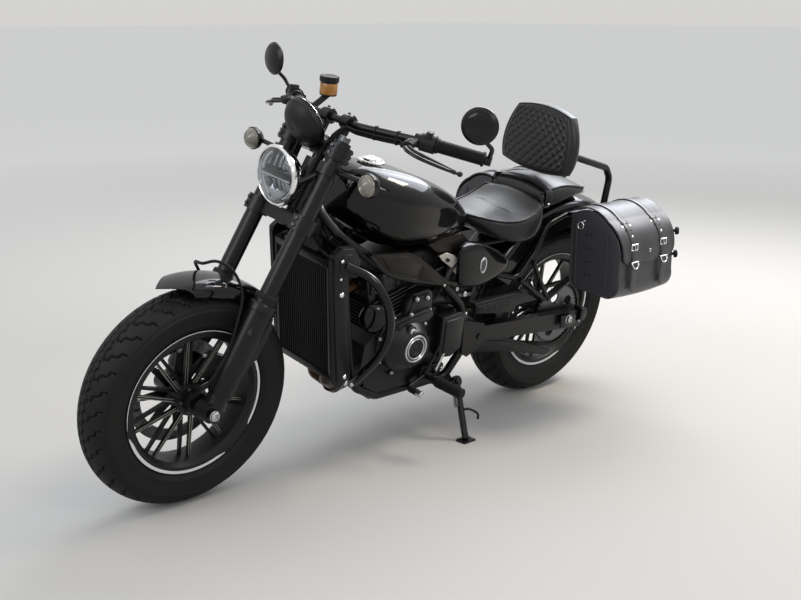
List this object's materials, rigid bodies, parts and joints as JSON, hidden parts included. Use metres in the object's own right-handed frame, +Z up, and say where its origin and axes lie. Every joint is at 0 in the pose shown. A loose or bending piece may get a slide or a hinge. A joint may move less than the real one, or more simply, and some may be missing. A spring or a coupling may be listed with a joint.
{
  "type": "cruiser motorcycle",
  "caption": "Mid-size cruiser motorcycle on its side stand: twin engine, long fork, low seat, padded backrest and leather saddlebags; it steers, rolls and stows its stand.",
  "frame": {"origin": "middle of the floor area that the parked motorcycle covers, on the floor", "axes": "+X forward along the wheelbase, +Y to the rider's left, +Z up; the bike leans 9.4 degrees to its left on its side stand"},
  "size_m": [2.178, 0.97, 1.2593],
  "materials": {
    "gloss_black_paint": "gloss",
    "satin_black_steel": "satin",
    "black_alloy": "satin",
    "charcoal_engine": "satin",
    "black_plastic": "matte",
    "black_radiator": "satin",
    "grip_rubber": "matte",
    "tyre_rubber": "matte",
    "black_leather": "satin",
    "bag_leather": "satin",
    "chrome": "polished",
    "silver_cap": "brushed",
    "steel_bright": "brushed",
    "bronze_steel": "heat tinted",
    "black_exhaust": "satin",
    "lamp_glass": "clear",
    "red_lens": "gloss"
  },
  "bodies": {
    "frame": {"main_frame": "satin_black_steel", "rear_subframe": "satin_black_steel", "swingarm": "satin_black_steel", "rear_axle": "steel_bright", "chain": "steel_bright", "rear_caliper": "black_alloy", "engine_case": "charcoal_engine", "engine_covers": "charcoal_engine", "cylinders": "charcoal_engine", "radiator": "black_radiator", "radiator_shrouds": "black_plastic", "exhaust_headers": "bronze_steel", "muffler": "black_exhaust", "fuel_tank": "gloss_black_paint", "fuel_cap": "silver_cap", "tank_side_trims": "black_plastic", "side_covers": "gloss_black_paint", "rider_seat": "black_leather", "pillion_seat": "black_leather", "backrest_pad": "black_leather", "luggage_rails": "satin_black_steel", "rear_fender": "gloss_black_paint", "tail_lamp": "red_lens", "plate_holder": "black_plastic", "engine_guards": "satin_black_steel", "foot_controls": "satin_black_steel", "passenger_pegs": "satin_black_steel", "left_saddlebag": "bag_leather", "right_saddlebag": "bag_leather"},
    "steering": {"fork_legs": "satin_black_steel", "triple_clamps": "satin_black_steel", "front_axle": "steel_bright", "front_fender": "gloss_black_paint", "headlamp_bucket": "chrome", "headlamp_lens": "lamp_glass", "front_signals": "satin_black_steel", "gauge": "black_plastic", "handlebar": "satin_black_steel", "grips": "grip_rubber", "bar_controls": "black_plastic", "mirrors": "satin_black_steel", "front_caliper": "black_alloy"},
    "front_wheel": {"front_tyre": "tyre_rubber", "front_rim": "black_alloy", "front_disc": "steel_bright"},
    "rear_wheel": {"rear_tyre": "tyre_rubber", "rear_rim": "black_alloy", "rear_disc": "steel_bright", "rear_sprocket": "steel_bright"},
    "side_stand": {"side_stand": "satin_black_steel"},
    "left_lid": {"left_bag_lid": "bag_leather"},
    "right_lid": {"right_bag_lid": "bag_leather"}
  },
  "joints": [
    {"name": "steering", "type": "hinge", "parent": "frame", "child": "steering", "pos_m": [0.73015, -0.13554, 0.29635], "axis": [-0.4695, 0.1442, 0.8711], "range_deg": [-36, 36]},
    {"name": "front_wheel_spin", "type": "hinge", "parent": "steering", "child": "front_wheel", "pos_m": [0.769, -0.13217, 0.31673], "axis": [0, 0.9866, -0.1633], "continuous": true},
    {"name": "rear_wheel_spin", "type": "hinge", "parent": "frame", "child": "rear_wheel", "pos_m": [-0.711, -0.13165, 0.31985], "axis": [0, 0.9866, -0.1633], "continuous": true},
    {"name": "side_stand", "type": "hinge", "parent": "frame", "child": "side_stand", "pos_m": [-0.171, -0.00264, 0.18071], "axis": [0, 0.9289, 0.3704], "range_deg": [0, 98]},
    {"name": "left_bag_lid", "type": "hinge", "parent": "frame", "child": "left_lid", "pos_m": [-0.711, 0.09922, 0.69802], "axis": [1, 0, 0], "range_deg": [0, 90]},
    {"name": "right_bag_lid", "type": "hinge", "parent": "frame", "child": "right_lid", "pos_m": [-0.711, -0.22833, 0.75224], "axis": [-1, 0, 0], "range_deg": [0, 90]}
  ]
}
